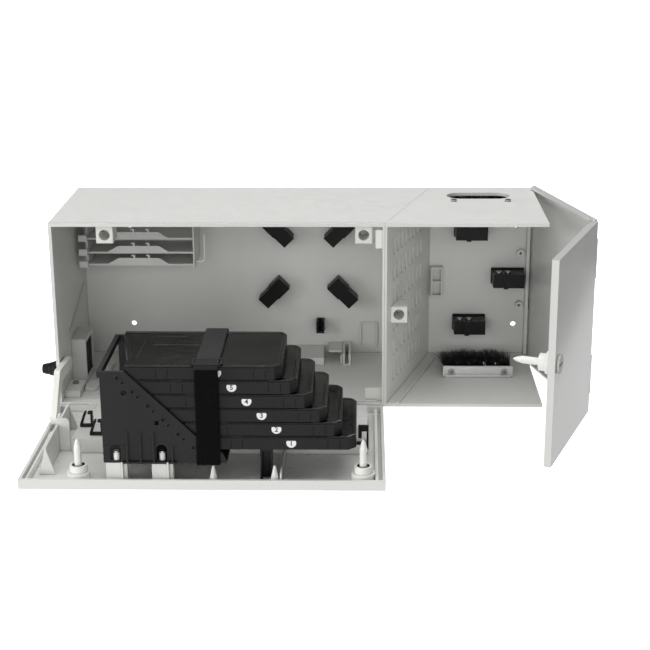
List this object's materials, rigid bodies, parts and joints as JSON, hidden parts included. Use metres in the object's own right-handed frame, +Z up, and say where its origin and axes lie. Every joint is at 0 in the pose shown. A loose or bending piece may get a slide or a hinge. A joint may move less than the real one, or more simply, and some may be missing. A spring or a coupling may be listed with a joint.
{
  "type": "fiber termination box",
  "caption": "Wall box for ending fibre cables, with a fold-down door that carries hinged splice trays and a folding side door over a patch compartment.",
  "frame": {"origin": "centre of the four wall fixing holes, on the back face that lies on the wall", "axes": "+Z up, +Y into the wall, so the front of the box faces -Y; +X along the box towards the patch compartment"},
  "size_m": [0.5795, 0.3624, 0.2075],
  "materials": {
    "housing_grey": "satin",
    "door_grey": "gloss",
    "fitting_grey": "satin",
    "nylon_white": "satin",
    "black_plastic": "satin",
    "lid_black": "gloss",
    "black_rubber": "matte",
    "bristle": "matte",
    "aluminium": "brushed",
    "zinc_steel": "satin",
    "strap_fabric": "matte"
  },
  "bodies": {
    "housing": {"main_housing": "housing_grey", "side_housing": "housing_grey", "lock_receivers": "nylon_white", "door_pads": "nylon_white", "fibre_organiser": "fitting_grey", "wire_clip": "nylon_white", "fibre_guides": "black_plastic", "fibre_clip": "black_plastic", "cable_entry_frame": "fitting_grey", "entry_seal": "black_rubber", "cable_gland": "black_rubber", "stay_track": "fitting_grey", "floor_block": "fitting_grey", "floor_screws": "zinc_steel", "cable_comb": "nylon_white", "cable_channel": "fitting_grey", "earth_terminal": "nylon_white", "adapter_frame": "fitting_grey", "cable_clamps": "black_plastic", "clamp_screws": "zinc_steel", "floor_brush_holder": "aluminium", "floor_brush": "bristle", "top_brush_holder": "aluminium", "top_brush": "bristle", "brush_screws": "zinc_steel", "main_hinge_pins": "zinc_steel", "side_hinge_pins": "zinc_steel"},
    "main_door": {"main_door": "door_grey", "tray_base": "door_grey", "support_leg": "black_plastic", "cable_clips": "black_plastic", "side_clip": "black_plastic", "lock_bezels": "nylon_white", "stay_pin": "nylon_white"},
    "tray_carrier": {"bracket_blocks": "fitting_grey", "tray_bracket": "black_plastic", "bracket_sleeves": "nylon_white", "bracket_screws": "zinc_steel", "strap": "strap_fabric", "strap_buckle": "black_plastic"},
    "lock_left": {"lock_pin_left": "nylon_white"},
    "lock_right": {"lock_pin_right": "nylon_white"},
    "stay_arm": {"stay_arm": "nylon_white"},
    "tray_6": {"tray_6": "black_plastic", "tray_lid_6": "lid_black"},
    "tray_5": {"tray_5": "black_plastic", "tray_lid_5": "lid_black"},
    "tray_4": {"tray_4": "black_plastic", "tray_lid_4": "lid_black"},
    "tray_3": {"tray_3": "black_plastic", "tray_lid_3": "lid_black"},
    "tray_2": {"tray_2": "black_plastic", "tray_lid_2": "lid_black"},
    "tray_1": {"tray_1": "black_plastic", "tray_lid_1": "lid_black"},
    "side_panel": {"side_panel": "door_grey", "fold_hinge_pins": "zinc_steel"},
    "front_panel": {"front_panel": "door_grey", "side_bezel": "nylon_white"},
    "side_lock": {"side_lock_pin": "nylon_white"}
  },
  "joints": [
    {"name": "main_door_hinge", "type": "hinge", "parent": "housing", "child": "main_door", "pos_m": [-0.1015, -0.169, -0.094], "axis": [-1, 0, 0], "range_deg": [0, 90]},
    {"name": "side_panel_hinge", "type": "hinge", "parent": "housing", "child": "side_panel", "pos_m": [0.2304, -0.0026, 0.002], "axis": [0, 0, 1], "range_deg": [-15.5, 74.5]},
    {"name": "front_panel_fold", "type": "hinge", "parent": "side_panel", "child": "front_panel", "pos_m": [0.27591, -0.16671, 0.002], "axis": [0, 0, 1], "range_deg": [-53.7, 36.3]},
    {"name": "lock_left_turn", "type": "hinge", "parent": "main_door", "child": "lock_left", "pos_m": [-0.216, -0.3465, -0.095], "axis": [0, 0, 1], "range_deg": [0, 90]},
    {"name": "lock_right_turn", "type": "hinge", "parent": "main_door", "child": "lock_right", "pos_m": [0.046, -0.3465, -0.095], "axis": [0, 0, 1], "range_deg": [0, 90]},
    {"name": "side_lock_turn", "type": "hinge", "parent": "front_panel", "child": "side_lock", "pos_m": [0.22321, -0.30543, 0], "axis": [-0.9348, 0.3551, 0], "range_deg": [0, 90]},
    {"name": "tray_carrier_slide", "type": "slide", "parent": "main_door", "child": "tray_carrier", "axis": [0, 1, 0], "range_m": [0, 0.0562]},
    {"name": "stay_arm_pivot", "type": "hinge", "parent": "main_door", "child": "stay_arm", "pos_m": [-0.2628, -0.228, -0.0854], "axis": [1, 0, 0], "range_deg": [0, 82]},
    {"name": "tray_6_hinge", "type": "hinge", "parent": "tray_carrier", "child": "tray_6", "pos_m": [-0.175, -0.3, 0.002], "axis": [0, 1, 0], "range_deg": [-85, 0], "deforming": ["strap", "strap_buckle"]},
    {"name": "tray_5_hinge", "type": "hinge", "parent": "tray_carrier", "child": "tray_5", "pos_m": [-0.1617, -0.3, -0.01145], "axis": [0, 1, 0], "range_deg": [-85, 0]},
    {"name": "tray_4_hinge", "type": "hinge", "parent": "tray_carrier", "child": "tray_4", "pos_m": [-0.1484, -0.3, -0.0249], "axis": [0, 1, 0], "range_deg": [-85, 0]},
    {"name": "tray_3_hinge", "type": "hinge", "parent": "tray_carrier", "child": "tray_3", "pos_m": [-0.1351, -0.3, -0.03835], "axis": [0, 1, 0], "range_deg": [-85, 0]},
    {"name": "tray_2_hinge", "type": "hinge", "parent": "tray_carrier", "child": "tray_2", "pos_m": [-0.1218, -0.3, -0.0518], "axis": [0, 1, 0], "range_deg": [-85, 0]},
    {"name": "tray_1_hinge", "type": "hinge", "parent": "tray_carrier", "child": "tray_1", "pos_m": [-0.1085, -0.3, -0.06525], "axis": [0, 1, 0], "range_deg": [-85, 0]}
  ],
  "couplings": [
    {"joint": "tray_carrier_slide", "follows": "main_door_hinge", "m_per_rad": 0.035651},
    {"joint": "stay_arm_pivot", "follows": "main_door_hinge", "ratio": 0.9056},
    {"joint": "tray_5_hinge", "follows": "tray_6_hinge", "ratio": 1},
    {"joint": "tray_4_hinge", "follows": "tray_6_hinge", "ratio": 1},
    {"joint": "tray_3_hinge", "follows": "tray_6_hinge", "ratio": 1},
    {"joint": "tray_2_hinge", "follows": "tray_6_hinge", "ratio": 1},
    {"joint": "tray_1_hinge", "follows": "tray_6_hinge", "ratio": 1}
  ]
}
